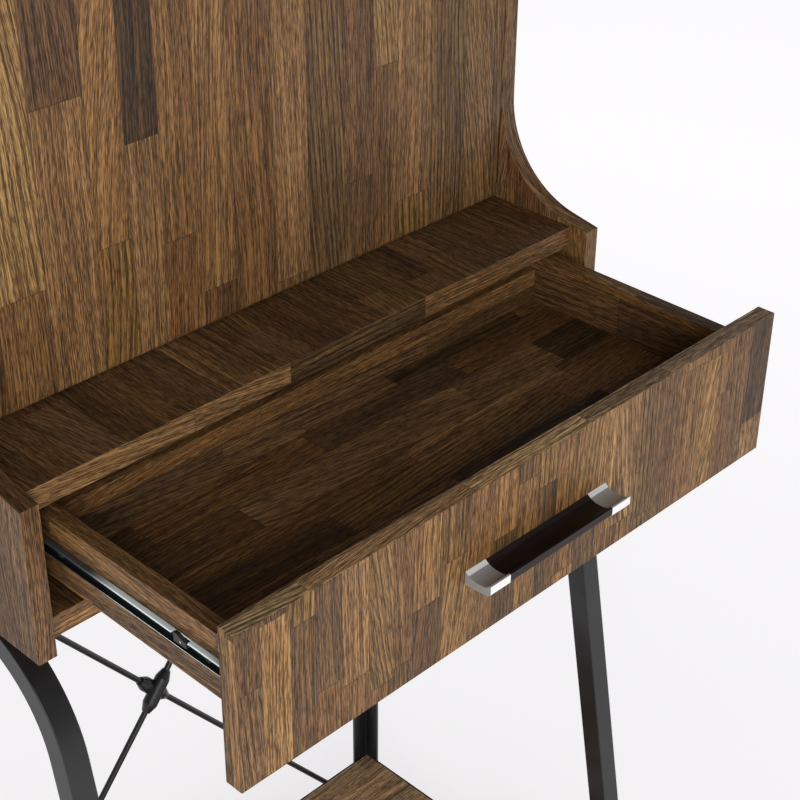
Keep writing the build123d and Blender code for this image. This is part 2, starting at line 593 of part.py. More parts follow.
def cross_rail(y_face, inward):
    """A rail between the side rails; inward is +1 for the front rail and -1 for the rear one."""
    upright = block(-FRAME_HALF_W, FRAME_HALF_W, y_face, y_face + inward * RAIL_T,
                    RAIL_Z + RAIL_T, LOW_SHELF_TOP_Z)
    ledge = block(-rail_x + ANGLE, rail_x - ANGLE, y_face, y_face + inward * ANGLE, RAIL_Z, RAIL_Z + RAIL_T)
    return upright + ledge


SHELF_SCREW_R = 1.75
SHELF_SCREW_L = 12.0
SHELF_SCREW_HEAD_T = 2.0
SHELF_SCREW_INSET = 70.0  # from the front and back rails
shelf_screw_x = rail_x - ANGLE / 2 - 1


def shelf_screw(x, y):
    """A screw up through a side rail's ledge into the low shelf."""
    shank = rod_z(RAIL_Z, RAIL_Z + SHELF_SCREW_L, x, y, SHELF_SCREW_R)
    return shank + rod_z(RAIL_Z - SHELF_SCREW_HEAD_T, RAIL_Z, x, y, 2 * SHELF_SCREW_R)


shelf_screws = [
    shelf_screw(x, y)
    for x in (-shelf_screw_x, shelf_screw_x)
    for y in (SHELF_FRONT_Y + SHELF_SCREW_INSET, SHELF_BACK_Y - SHELF_SCREW_INSET)
]
low_shelf = block(-FRAME_HALF_W, FRAME_HALF_W, SHELF_FRONT_Y + RAIL_T, SHELF_BACK_Y - RAIL_T,
                  RAIL_Z + RAIL_T, LOW_SHELF_TOP_Z)
for tool in shelf_screws:
    low_shelf -= tool
    side_rail -= tool

# crossed brace: four rods screwed into a hub, with flat eyes bolted to the rear legs
BRACE_BOLT_R = 2.5
BRACE_BOLT_HEAD_R = 4.2
BRACE_BOLT_HEAD_T = 3.0
NUT_R = 4.6
NUT_T = 3.5
EYE_L = 22.0
EYE_HALF_W = 7.0


def brace_place(side, up):
    """Turns a piece drawn along +X from the hub towards one corner of the brace."""
    turn = {(1, 1): -BRACE_SLOPE_DEG, (1, -1): BRACE_SLOPE_DEG,
            (-1, 1): BRACE_SLOPE_DEG - 180, (-1, -1): 180 - BRACE_SLOPE_DEG}[(side, up)]
    return Pos(0, ROD_Y, BRACE_MID_Z) * Rot(0, turn, 0)


def brace_rod(forward):
    """One rod along +X with its flattened eye end; its line meets the hub this much forward of the eye."""
    rod_end = BRACE_HALF_L - EYE_L + 4
    lean = degrees(atan2(forward, BRACE_HALF_L))
    rod = Pos(0, -forward, 0) * Rot(0, 0, lean) * rod_x(HUB_HALF_L - PAST, rod_end, 0, 0, ROD_R)
    eye_y = -ROD_STANDOFF
    eye = block(BRACE_HALF_L - EYE_L, BRACE_HALF_L, eye_y, eye_y + TAB_T, -EYE_HALF_W, EYE_HALF_W)
    eye += rod_y(eye_y, eye_y + TAB_T, BRACE_HALF_L, 0, EYE_HALF_W)
    return (rod + eye) - rod_y(eye_y - PAST, eye_y + TAB_T + PAST, BRACE_HALF_L, 0, BRACE_BOLT_R)


def sleeve(y):
    """A round sleeve along X with tapered ends."""
    straight = HUB_HALF_L - HUB_TAPER_L
    profile = Polyline((-HUB_HALF_L, 0), (-HUB_HALF_L, HUB_END_R), (-straight, HUB_R), (straight, HUB_R),
                       (HUB_HALF_L, HUB_END_R), (HUB_HALF_L, 0), (-HUB_HALF_L, 0))
    body = revolve(make_face(profile), Axis.X)
    shoulders = body.edges().filter_by(GeomType.CIRCLE).group_by(SortBy.RADIUS)[-1]
    return Pos(0, y, 0) * fillet(shoulders, HUB_ROUND_R)


corners = {"upper_right": (1, 1), "upper_left": (-1, 1), "lower_right": (1, -1), "lower_left": (-1, -1)}
hub = brace_place(1, 1) * sleeve(-SLEEVE_FORWARD) + brace_place(1, -1) * sleeve(0)
add("brace_hub", hub)
for name, (side, up) in corners.items():
    forward = SLEEVE_FORWARD if side == up else 0.0
    add(f"brace_rod_{name}", brace_place(side, up) * brace_rod(forward) - hub)

brace_bolts = []
brace_nuts = []
for side, up in corners.values():
    x = side * BRACE_HALF_W
    z = BRACE_MID_Z + up * (BRACE_TOP_Z - BRACE_MID_Z)
    nut_y = FRAME_BACK_Y + TAB_T
    head = rod_y(SHELF_BACK_Y - BRACE_BOLT_HEAD_T, SHELF_BACK_Y, x, z, BRACE_BOLT_HEAD_R)
    shank = rod_y(SHELF_BACK_Y, nut_y + NUT_T + PAST, x, z, BRACE_BOLT_R)
    brace_bolts.append(head + shank)
    nut = along_y(Pos(x, z) * RegularPolygon(NUT_R, 6), nut_y, nut_y + NUT_T)
    brace_nuts.append(nut - shank)
for bolt in brace_bolts:
    rear_leg -= bolt

bolt_z = CABINET_BOTTOM_Z - TUBE
frame_bolts = [
    shank + rod_z(bolt_z - FRAME_BOLT_HEAD_T, bolt_z, -FRAME_BOLT_X, shank.center().Y, FRAME_BOLT_HEAD_R)
    for shank in frame_bolt_shanks()
]

add_pair("front_leg", front_leg)
add_pair("rear_leg", rear_leg)
add("front_feet", front_foot, mirrored(front_foot))
add("rear_feet", rear_foot, mirrored(rear_foot))
add_pair("low_shelf_rail", side_rail)
add("front_low_shelf_rail", cross_rail(SHELF_FRONT_Y, 1))
add("rear_low_shelf_rail", cross_rail(SHELF_BACK_Y, -1) - rear_leg - mirrored(rear_leg))
add("low_shelf_board", low_shelf)
add("low_shelf_screws", *shelf_screws)
add("brace_bolts", *brace_bolts)
add("brace_nuts", *brace_nuts)
add("frame_bolts", *frame_bolts, *[mirrored(b) for b in frame_bolts])

os.makedirs("parts", exist_ok=True)
for name, shape in NODES.items():
    export_step(shape, f"parts/{name}.step")
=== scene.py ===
import json
import math
import random

import bmesh
import bpy
from mathutils import Matrix, Vector


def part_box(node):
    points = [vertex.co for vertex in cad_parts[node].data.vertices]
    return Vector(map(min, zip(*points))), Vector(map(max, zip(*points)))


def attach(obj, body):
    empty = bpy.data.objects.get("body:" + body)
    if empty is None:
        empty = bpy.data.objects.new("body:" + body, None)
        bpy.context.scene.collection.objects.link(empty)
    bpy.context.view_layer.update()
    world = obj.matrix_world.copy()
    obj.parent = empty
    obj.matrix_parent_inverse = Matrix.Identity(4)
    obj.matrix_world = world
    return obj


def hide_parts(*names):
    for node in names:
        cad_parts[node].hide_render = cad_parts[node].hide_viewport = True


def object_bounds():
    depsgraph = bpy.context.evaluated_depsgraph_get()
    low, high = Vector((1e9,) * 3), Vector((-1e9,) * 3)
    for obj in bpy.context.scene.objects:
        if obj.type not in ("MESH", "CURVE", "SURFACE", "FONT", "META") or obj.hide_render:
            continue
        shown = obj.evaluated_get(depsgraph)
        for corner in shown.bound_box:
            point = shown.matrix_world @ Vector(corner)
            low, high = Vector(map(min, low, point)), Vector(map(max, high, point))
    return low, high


# The looks of a drop-front desk: staved wood, black powder-coated steel, zinc drawer slides and bar pulls.
# Everything is in metres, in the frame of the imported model: +X right, +Y back, +Z up.

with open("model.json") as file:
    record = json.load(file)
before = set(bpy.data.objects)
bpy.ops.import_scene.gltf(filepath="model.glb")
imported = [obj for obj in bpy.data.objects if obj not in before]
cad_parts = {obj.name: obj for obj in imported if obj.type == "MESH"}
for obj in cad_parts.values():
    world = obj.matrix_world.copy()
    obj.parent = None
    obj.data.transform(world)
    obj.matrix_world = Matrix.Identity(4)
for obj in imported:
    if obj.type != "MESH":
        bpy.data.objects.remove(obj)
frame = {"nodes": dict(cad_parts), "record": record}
cad_low, cad_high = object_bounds()
nodes = frame["nodes"]
draws = random.Random(17)


# ---- node trees ----
class Graph:
    """Builds a node tree with short calls; values may be sockets, numbers or tuples."""

    def __init__(self, tree):
        self.tree = tree

    def node(self, kind, **settings):
        made = self.tree.nodes.new(kind)
        for name, value in settings.items():
            setattr(made, name, value)
        return made

    def feed(self, socket, value):
        if isinstance(value, bpy.types.NodeSocket):
            self.tree.links.new(value, socket)
        elif value is not None:
            socket.default_value = value

    def math(self, operation, *values, clamp=False):
        made = self.node("ShaderNodeMath", operation=operation, use_clamp=clamp)
        for socket, value in zip(made.inputs, values):
            self.feed(socket, value)
        return made.outputs[0]

    def add(self, a, b):
        return self.math("ADD", a, b)

    def times(self, a, b):
        return self.math("MULTIPLY", a, b)

    def vector(self, x, y, z):
        made = self.node("ShaderNodeCombineXYZ")
        for socket, value in zip(made.inputs, (x, y, z)):
            self.feed(socket, value)
        return made.outputs[0]

    def parts(self, vector):
        made = self.node("ShaderNodeSeparateXYZ")
        self.feed(made.inputs[0], vector)
        return made.outputs

    def scaled(self, vector, sizes):
        made = self.node("ShaderNodeVectorMath", operation="MULTIPLY")
        self.feed(made.inputs[0], vector)
        self.feed(made.inputs[1], sizes)
        return made.outputs[0]

    def noise(self, vector, scale=1.0, detail=2.0, roughness=0.5, distortion=0.0):
        made = self.node("ShaderNodeTexNoise", noise_dimensions="3D")
        self.feed(made.inputs["Vector"], vector)
        self.feed(made.inputs["Scale"], scale)
        self.feed(made.inputs["Detail"], detail)
        self.feed(made.inputs["Roughness"], roughness)
        self.feed(made.inputs["Distortion"], distortion)
        return made.outputs["Fac"]

    def cells(self, w, feature="F1", randomness=0.8):
        made = self.node("ShaderNodeTexVoronoi", voronoi_dimensions="1D", feature=feature)
        self.feed(made.inputs["W"], w)
        self.feed(made.inputs["Scale"], 1.0)
        self.feed(made.inputs["Randomness"], randomness)
        return made.outputs["Distance" if feature == "DISTANCE_TO_EDGE" else "Color"]

    def spread(self, value, low, high, to_low=0.0, to_high=1.0):
        """value from low..high onto to_low..to_high, eased and held at the ends."""
        made = self.node("ShaderNodeMapRange", interpolation_type="SMOOTHSTEP")
        for socket, given in zip(made.inputs, (value, low, high, to_low, to_high)):
            self.feed(socket, given)
        return made.outputs[0]

    def ramp(self, value, stops):
        made = self.node("ShaderNodeValToRGB")
        made.color_ramp.interpolation = "LINEAR"
        elements = made.color_ramp.elements
        while len(elements) < len(stops):
            elements.new(0.5)
        for element, (place, colour) in zip(elements, stops):
            element.position = place
            element.color = (*colour, 1.0)
        self.feed(made.inputs[0], value)
        return made.outputs["Color"]

    def blend(self, share, a, b, kind="MIX"):
        made = self.node("ShaderNodeMix", data_type="RGBA", blend_type=kind)
        self.feed(made.inputs["Factor"], share)
        for name, value in (("A", a), ("B", b)):
            socket = next(s for s in made.inputs if s.name == name and s.type == "RGBA")
            self.feed(socket, (*value, 1.0) if isinstance(value, tuple) and len(value) == 3 else value)
        return next(s for s in made.outputs if s.type == "RGBA")

    def choose(self, share, a, b):
        made = self.node("ShaderNodeMix", data_type="VECTOR")
        self.feed(made.inputs["Factor"], share)
        for name, value in (("A", a), ("B", b)):
            self.feed(next(s for s in made.inputs if s.name == name and s.type == "VECTOR"), value)
        return next(s for s in made.outputs if s.type == "VECTOR")

    def bump(self, height, distance, strength=1.0):
        made = self.node("ShaderNodeBump")
        self.feed(made.inputs["Strength"], strength)
        self.feed(made.inputs["Distance"], distance)
        self.feed(made.inputs["Height"], height)
        return made.outputs["Normal"]


def new_material(name):
    """A material, its graph and its shader."""
    made = bpy.data.materials.new(name)
    made.use_nodes = True
    return made, Graph(made.node_tree), made.node_tree.nodes["Principled BSDF"]


# ---- staved wood ----
# stave tones from the darkest to the lightest, linear
TONES = (
    (0.00, (0.044, 0.025, 0.0105)),
    (0.12, (0.078, 0.041, 0.0155)),
    (0.30, (0.120, 0.060, 0.0206)),
    (0.50, (0.156, 0.078, 0.0256)),
    (0.70, (0.200, 0.103, 0.0338)),
    (0.88, (0.262, 0.141, 0.0490)),
    (1.00, (0.340, 0.195, 0.0730)),
)

# noise scales of the grain, per metre: across the staves, along them, and from stave to stave
STREAKS = (130.0, 2.2, 1.0)
BANDS = (300.0, 4.0, 1.0)
THREADS = (1150.0, 13.0, 1.0)
DASHES = (1500.0, 120.0, 1.0)
CLOUDS = (26.0, 9.0, 1.0)
SWELLS = (17.0, 1.5, 1.0)
RING_RATE = 1250.0  # radians per metre across figured staves


def stave_group():
    """Glued staves. In: a place (across, along, face) in metres and the staves' sizes.
    Out: colour, height and roughness."""
    tree = bpy.data.node_groups.new("glued_staves", "ShaderNodeTree")
    for name, kind in (("Place", "Vector"), ("Width", "Float"), ("Length", "Float"), ("Seed", "Float")):
        tree.interface.new_socket(name, in_out="INPUT", socket_type="NodeSocket" + kind)
    for name, kind in (("Colour", "Color"), ("Height", "Float"), ("Roughness", "Float")):
        tree.interface.new_socket(name, in_out="OUTPUT", socket_type="NodeSocket" + kind)
    g = Graph(tree)
    given = g.node("NodeGroupInput").outputs
    across, along, face = g.parts(given["Place"])

    column_w = g.add(g.math("DIVIDE", across, given["Width"]), g.add(given["Seed"], g.times(face, 11.0)))
    column = g.parts(g.cells(column_w))
    stave_w = g.add(g.math("DIVIDE", along, given["Length"]), g.times(column[0], 61.0))
    tone, hue, turn = g.parts(g.cells(stave_w, randomness=1.0))
    side_gap = g.times(g.cells(column_w, "DISTANCE_TO_EDGE"), given["Width"])
    end_gap = g.times(g.cells(stave_w, "DISTANCE_TO_EDGE", 1.0), given["Length"])

    # grain lines lean and wander a little, differently in each stave
    shift = g.add(g.times(tone, 53.0), g.times(hue, 29.0))
    sway = g.noise(g.vector(g.times(across, 9.0), g.times(along, 5.0), shift), detail=1.0)
    off_middle = g.add(turn, -0.5)
    steepness = g.math("POWER", g.math("ABSOLUTE", g.times(off_middle, 2.0)), 3.0)
    lean = g.times(steepness, g.times(off_middle, 0.30))
    grain = g.add(across, g.add(g.times(lean, along), g.times(sway, 0.016)))
    spot = g.vector(grain, along, shift)

    streaks = g.noise(g.scaled(spot, STREAKS), detail=3.0, roughness=0.6)
    bands = g.noise(g.scaled(spot, BANDS), detail=2.0, roughness=0.6)
    threads = g.noise(g.scaled(spot, THREADS), detail=2.0, roughness=0.65)
    dashes = g.noise(g.scaled(spot, DASHES), detail=1.0)
    cloud = g.noise(g.scaled(spot, CLOUDS), detail=2.0)
    swell = g.noise(g.scaled(spot, SWELLS), detail=1.0)
    wave = g.math("SINE", g.add(g.times(grain, RING_RATE), g.times(swell, 42.0)))
    rings = g.spread(wave, 0.0, 0.95)
    figured = g.spread(hue, 0.50, 0.85)

    # most staves are near the middle tone; a few are much darker
    rare = g.spread(tone, 0.0, 0.12, -0.10, 0.0)
    level = g.add(g.add(0.5, rare), g.times(g.add(tone, -0.5), 0.66))
    level = g.add(level, g.times(g.add(cloud, -0.5), 0.26))
    level = g.add(level, g.times(g.add(streaks, -0.5), 0.62))
    level = g.add(level, g.times(g.add(bands, -0.5), 0.52))
    base = g.ramp(level, TONES)
    warmed = g.blend(g.spread(hue, 0.1, 0.45, 0.55, 0.0), base, (1.05, 0.94, 0.90), "MULTIPLY")
    golden = g.blend(g.spread(hue, 0.55, 0.9, 0.0, 0.7), warmed, (0.97, 1.08, 0.90), "MULTIPLY")
    cooled = g.blend(g.spread(turn, 0.50, 0.85, 0.0, 0.85), golden, (0.93, 0.98, 1.18), "MULTIPLY")

    dark_thread = g.spread(threads, 0.50, 0.64)
    light_thread = g.spread(threads, 0.48, 0.36)
    dash = g.spread(dashes, 0.53, 0.62)
    pale_dash = g.spread(dashes, 0.45, 0.36)
    seam = g.spread(g.math("MINIMUM", side_gap, end_gap), 0.0001, 0.0007, 1.0, 0.0)
    figure = g.times(rings, figured)

    dark = g.add(g.times(dark_thread, 0.82), g.add(g.times(figure, 0.50), g.times(dash, 0.70)))
    shaded = g.blend(g.math("MINIMUM", dark, 0.95), cooled, (0.30, 0.25, 0.22), "MULTIPLY")
    pale_figure = g.times(g.add(1.0, g.times(rings, -1.0)), g.times(figured, 0.35))
    pale = g.add(g.times(light_thread, 0.86), g.add(g.times(pale_dash, 0.70), pale_figure))
    lit = g.blend(g.math("MINIMUM", pale, 1.0), shaded, (2.10, 2.06, 2.00), "MULTIPLY")
    colour = g.blend(g.times(seam, 0.6), lit, (0.36, 0.32, 0.30), "MULTIPLY")

    height = g.add(g.times(dash, -0.8), g.add(g.times(dark_thread, -0.45), g.times(seam, -0.8)))
    height = g.add(height, g.times(figure, -0.2))
    rough = g.add(0.50, g.add(g.times(dash, 0.12), g.times(dark_thread, 0.08)))
    result = g.node("NodeGroupOutput").inputs
    g.feed(result["Colour"], colour)
    g.feed(result["Height"], height)
    g.feed(result["Roughness"], rough)
    return tree


STAVES = stave_group()
PLAIN = (1.0, 1.0, 1.0)
AXES = {"X": 0, "Y": 1, "Z": 2}


def wood(name, seed, along, width, length, steep_tone_and_light=PLAIN, level_tone_and_light=PLAIN):
    """Staved board. along maps each face's normal axis to the axis that its staves run along. width and length
    are the staves'. steep_tone_and_light multiplies the colour of the steep faces, level_tone_and_light that of
    the level ones: board tone, and painted light and shade by face direction."""
    made, g, shader = new_material(name)
    place = g.node("ShaderNodeTexCoord")
    spot = g.parts(place.outputs["Object"])
    normal = g.parts(place.outputs["Normal"])
    maps = {}
    for face, run in along.items():
        across = next(a for a in "XYZ" if a not in (face, run))
        maps[face] = g.vector(spot[AXES[across]], spot[AXES[run]], spot[AXES[face]])
    steep = {a: g.math("GREATER_THAN", g.math("ABSOLUTE", normal[AXES[a]]), 0.7) for a in "XY"}
    chosen = g.choose(steep["X"], g.choose(steep["Y"], maps["Z"], maps["Y"]), maps["X"])
    group = g.node("ShaderNodeGroup", node_tree=STAVES)
    for socket, value in (("Place", chosen), ("Width", width), ("Length", length), ("Seed", seed)):
        g.feed(group.inputs[socket], value)
    # painted light and shade: the staves' colour is multiplied by one factor on steep faces and by another on
    # level faces
    upward = g.math("GREATER_THAN", g.math("ABSOLUTE", normal[AXES["Z"]]), 0.7)
    lifted = g.blend(1.0, group.outputs["Colour"], g.blend(upward, steep_tone_and_light, level_tone_and_light), "MULTIPLY")
    g.feed(shader.inputs["Base Color"], lifted)
    g.feed(shader.inputs["Roughness"], group.outputs["Roughness"])
    g.feed(shader.inputs["Normal"], g.bump(group.outputs["Height"], 0.0002, 0.7))
    shader.inputs["Specular IOR Level"].default_value = 0.30
    return made


UPRIGHT = {"X": "Z", "Y": "Z", "Z": "X"}
SIDEWAYS_UPRIGHT = {"X": "Z", "Y": "Z", "Z": "Y"}
CROSSWAYS = {"X": "Y", "Y": "X", "Z": "Y"}
LENGTHWAYS = {"X": "Y", "Y": "X", "Z": "X"}
DEEP = {"X": "Y", "Y": "Z", "Z": "Y"}

# which way the staves run, their width and length, and colour factors for the steep and the level faces: board
# tone, and painted light and shade by face direction
BOARDS = {
    "drop_leaf": (UPRIGHT, 0.034, 0.30, (0.91, 0.89, 0.89), (0.91, 0.89, 0.89)),
    # drawer front: lighter on its level faces
    "drawer_front": (UPRIGHT, 0.023, 0.13, PLAIN, (2.05, 2.6, 3.7)),
    "left_side_panel": (SIDEWAYS_UPRIGHT, 0.036, 0.24),
    "right_side_panel": (SIDEWAYS_UPRIGHT, 0.036, 0.24),
    # shelf: painted shade, darker on its level faces
    "shelf_board": (CROSSWAYS, 0.030, 0.16, PLAIN, (0.70, 0.72, 0.80)),
    "bottom_board": (CROSSWAYS, 0.040, 0.16),
    "top_board": (CROSSWAYS, 0.040, 0.16),
    "inner_shelf": (LENGTHWAYS, 0.034, 0.21),
    "inner_divider": (SIDEWAYS_UPRIGHT, 0.034, 0.21),
    "left_drawer_side": (DEEP, 0.034, 0.21),
    "right_drawer_side": (DEEP, 0.034, 0.21),
    "drawer_back": (LENGTHWAYS, 0.034, 0.21),
    # drawer bottom: painted shade, darker all over inside the drawer
    "drawer_bottom": (LENGTHWAYS, 0.030, 0.17, (0.85, 0.85, 0.85), (0.85, 0.85, 0.85)),
    # low shelf: much lighter all over
    "low_shelf_board": (LENGTHWAYS, 0.034, 0.24, (2.35, 2.95, 4.3), (2.35, 2.95, 4.3)),
}


# ---- metals and plastics ----
def powder_coat(name, colour, rough=0.36):
    """Satin powder coat: a fine orange peel, faint rubbed patches and dust."""
    made, g, shader = new_material(name)
    spot = g.node("ShaderNodeTexCoord").outputs["Object"]
    peel = g.noise(spot, 1400.0, 2.0)
    rubbed = g.noise(spot, 11.0, 4.0, 0.6)
    light = tuple(2.1 * c + 0.004 for c in colour)
    g.feed(shader.inputs["Base Color"], g.blend(g.spread(rubbed, 0.42, 0.75), colour, light))
    g.feed(shader.inputs["Roughness"], g.spread(rubbed, 0.25, 0.75, rough - 0.06, rough + 0.12))
    g.feed(shader.inputs["Normal"], g.bump(peel, 0.00006, 0.5))
    shader.inputs["Specular IOR Level"].default_value = 0.38
    return made


def brushed_metal(name, colour, rough, across, tint=0.18, metallic=1.0, patch=None, patch_colour=None):
    """Plated or brushed metal. across scales the brushing: large along the axis that the lines don't follow.
    patch picks the places that have patch_colour instead: given the graph and its coordinates, 0 or 1."""
    made, g, shader = new_material(name)
    place = g.node("ShaderNodeTexCoord")
    spot = place.outputs["Object"]
    lines = g.noise(g.scaled(spot, across), 1.0, 3.0, 0.6)
    patches = g.noise(spot, 45.0, 3.0, 0.6)
    darker = tuple(c * (1 - tint) for c in colour)
    share = g.add(g.times(lines, 0.6), g.times(patches, 0.4))
    plain = g.blend(g.spread(share, 0.3, 0.7), darker, colour)
    if patch:
        plain = g.blend(patch(g, place), plain, patch_colour)
    g.feed(shader.inputs["Base Color"], plain)
    g.feed(shader.inputs["Roughness"], g.spread(share, 0.3, 0.7, rough + 0.1, rough - 0.06))
    g.feed(shader.inputs["Normal"], g.bump(lines, 0.00004, 0.35))
    shader.inputs["Metallic"].default_value = metallic
    return made


def painted_channel_shade(g, place):
    """Painted shade: near-black on the inside of the drawer's slide channels and on the stretch near the
    cabinet, where shade falls.
    """
    low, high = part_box("left_drawer_slide")
    spot = g.parts(place.outputs["Object"])
    flange_t = 0.001
    # where the painted shade near the cabinet begins and where it is full
    shade_from, shade_full = 0.105, 0.140  # behind the slide's front end
    web_x = g.math("LESS_THAN", g.math("ABSOLUTE", spot[0]), -high.x + 1.6 * flange_t)
    faces_up = g.math("GREATER_THAN", g.parts(place.outputs["Normal"])[2], 0.5)
    from_middle = g.math("ABSOLUTE", g.add(spot[2], -(low.z + high.z) / 2))
    within = g.math("LESS_THAN", from_middle, (high.z - low.z) / 2 - 0.9 * flange_t)
    shade_near_cabinet = g.spread(spot[1], low.y + shade_from, low.y + shade_full, 0.0, 0.94)
    return g.math("MAXIMUM", shade_near_cabinet, g.times(g.math("MAXIMUM", web_x, faces_up), within))


def painted_rim_highlight(g, place):
    """Painted highlight: the caps' front lip and the front slope of their rear rim, the faces turned forward,
    made lighter.
    """
    return g.spread(g.parts(place.outputs["Normal"])[1], -0.35, -0.55)


def moulded_plastic(name, colour, rough=0.5):
    """Moulded plastic with a fine spark-eroded grain."""
    made, g, shader = new_material(name)
    spot = g.node("ShaderNodeTexCoord").outputs["Object"]
    grain = g.noise(spot, 2300.0, 2.0, 0.6)
    patches = g.noise(spot, 30.0, 3.0)
    light = tuple(1.6 * c + 0.003 for c in colour)
    g.feed(shader.inputs["Base Color"], g.blend(g.spread(patches, 0.4, 0.75), colour, light))
    g.feed(shader.inputs["Roughness"], g.spread(patches, 0.3, 0.7, rough - 0.06, rough + 0.08))
    g.feed(shader.inputs["Normal"], g.bump(grain, 0.00005, 0.6))
    return made


def espresso_grip(name):
    """Near-black lacquered grip with a faint lengthwise figure."""
    made, g, shader = new_material(name)
    spot = g.node("ShaderNodeTexCoord").outputs["Object"]
    figure = g.noise(g.scaled(spot, (35.0, 620.0, 620.0)), 1.0, 3.0, 0.6)
    g.feed(shader.inputs["Base Color"], g.ramp(figure, ((0.35, (0.0036, 0.0018, 0.0018)),
                                                        (0.55, (0.0075, 0.0034, 0.0032)),
                                                        (0.75, (0.0160, 0.0078, 0.0068)))))
    g.feed(shader.inputs["Roughness"], g.spread(figure, 0.3, 0.7, 0.38, 0.50))
    g.feed(shader.inputs["Normal"], g.bump(figure, 0.00005, 0.4))
    shader.inputs["Specular IOR Level"].default_value = 0.28
    shader.inputs["Specular Tint"].default_value = (1.0, 0.82, 0.78, 1)
    return made


def fibreboard(name):
    """Thin printed hardboard: brown, with pressed fibres and a soft mottling."""
    made, g, shader = new_material(name)
    spot = g.node("ShaderNodeTexCoord").outputs["Object"]
    fibres = g.noise(g.scaled(spot, (520.0, 520.0, 340.0)), 1.0, 4.0, 0.7, 1.5)
    mottle = g.noise(spot, 14.0, 4.0, 0.6)
    share = g.add(g.times(fibres, 0.65), g.times(mottle, 0.35))
    g.feed(shader.inputs["Base Color"], g.ramp(share, ((0.30, (0.080, 0.046, 0.026)),
                                                       (0.50, (0.130, 0.078, 0.045)),
                                                       (0.72, (0.185, 0.118, 0.070)))))
    g.feed(shader.inputs["Roughness"], g.spread(share, 0.3, 0.7, 0.62, 0.8))
    g.feed(shader.inputs["Normal"], g.bump(fibres, 0.00012, 0.6))
    return made


def beech(name):
    """Turned beech dowel: pale, with short flecks along it."""
    made, g, shader = new_material(name)
    spot = g.node("ShaderNodeTexCoord").outputs["Object"]
    flecks = g.noise(g.scaled(spot, (260.0, 900.0, 900.0)), 1.0, 2.0, 0.6)
    pale, fleck = (0.62, 0.42, 0.25), (0.42, 0.25, 0.13)
    g.feed(shader.inputs["Base Color"], g.ramp(flecks, ((0.35, fleck), (0.65, pale))))
    g.feed(shader.inputs["Normal"], g.bump(flecks, 0.0001, 0.4))
    shader.inputs["Roughness"].default_value = 0.6
    return made


ALONG_X = (60.0, 2600.0, 2600.0)
ALONG_Y = (2600.0, 60.0, 2600.0)
FINISHES = {
    "back_fibreboard": fibreboard("back_fibreboard"),
    "dowel_beech": beech("dowel_beech"),
    "black_steel": powder_coat("black_steel", (0.0105, 0.0102, 0.0110)),
    "black_fasteners": powder_coat("black_fasteners", (0.0150, 0.0150, 0.0160), 0.42),
    "zinc_slide_steel": brushed_metal("zinc_slide_steel", (0.66, 0.74, 0.78), 0.34, ALONG_Y, 0.18, 0.55),
    "zinc_screws": brushed_metal("zinc_screws", (0.60, 0.62, 0.63), 0.30, (900.0, 900.0, 900.0)),
    "black_plastic": moulded_plastic("black_plastic", (0.013, 0.013, 0.014)),
    "brass": brushed_metal("brass", (0.72, 0.52, 0.24), 0.28, (900.0, 2600.0, 2600.0)),
    "bronze_grip": espresso_grip("bronze_grip"),
    # nickel caps, with a painted highlight on their forward-facing rims
    "nickel_caps": brushed_metal("nickel_caps", (0.40, 0.40, 0.39), 0.42, ALONG_X, 0.14, 0.35,
                                 painted_rim_highlight, (0.86, 0.86, 0.85)),
}
# drawer slides: near-white, barely metallic zinc that paints the bright reflection of the top flanges, with
# near-black painted shade inside the channels and near the cabinet
DRAWER_CHANNEL = brushed_metal("zinc_drawer_channel", (0.88, 0.99, 1.00), 0.36, ALONG_Y, 0.08, 0.05,
                               painted_channel_shade, (0.006, 0.008, 0.008))
# the drawer slides' screws take the black finish as painted shade: they sit in the shaded channel
OWN_FINISHES = {"left_drawer_slide": DRAWER_CHANNEL, "right_drawer_slide": DRAWER_CHANNEL,
                "drawer_slide_screws": FINISHES["black_fasteners"]}

for row in frame["record"]["subparts"]:
    node = nodes[row["node"]]
    if row["node"] in BOARDS:
        finish = wood("staved_" + row["node"], draws.uniform(3, 60), *BOARDS[row["node"]])
    else:
        finish = OWN_FINISHES.get(row["node"], FINISHES[row["material_slot"]])
    for slot in node.material_slots:
        slot.material = finish


# ---- screws, bolts, nuts and welds ----
MM = 0.001
ROUND = 24  # sides of a turned piece
THREAD_PITCH = 0.8 * MM
THREAD_STEPS = 16  # crests and roots at a bolt's end
BEAD_R = 1.5 * MM
RIPPLE = 0.7 * MM  # along a weld bead
TUBE = 20 * MM
turns = random.Random(5)


def add_piece(name, build, body, slot_name, finish, *replaced):
    """Makes a piece whose mesh the function build fills in, riding on a body."""
    made = bmesh.new()
    build(made)
    bmesh.ops.recalc_face_normals(made, faces=made.faces)
    mesh = bpy.data.meshes.new(name)
    made.to_mesh(mesh)
    made.free()
    mesh.materials.append(finish)
    piece = bpy.data.objects.new(name, mesh)
    bpy.context.scene.collection.objects.link(piece)
    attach(piece, body)
    if replaced:
        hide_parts(*replaced)


def along_z(place, direction):
    """The transform that puts a piece drawn along +Z at a place, facing a direction."""
    return Matrix.Translation(place) @ Vector(direction).to_track_quat("Z", "Y").to_matrix().to_4x4()


def facing(place, direction):
    """The same transform, with a random turn about the direction."""
    spin = Matrix.Rotation(turns.uniform(0, math.tau), 4, "Z")
    return along_z(place, direction) @ spin


def on_circle(radius, part):
    """A point on a circle, part of the way round it."""
    angle = math.tau * part
    return radius * math.cos(angle), radius * math.sin(angle)


def ring(made, radius, height, where, sides=ROUND):
    spots = [on_circle(radius, i / sides) for i in range(sides)]
    return [made.verts.new(where @ Vector((x, y, height))) for x, y in spots]


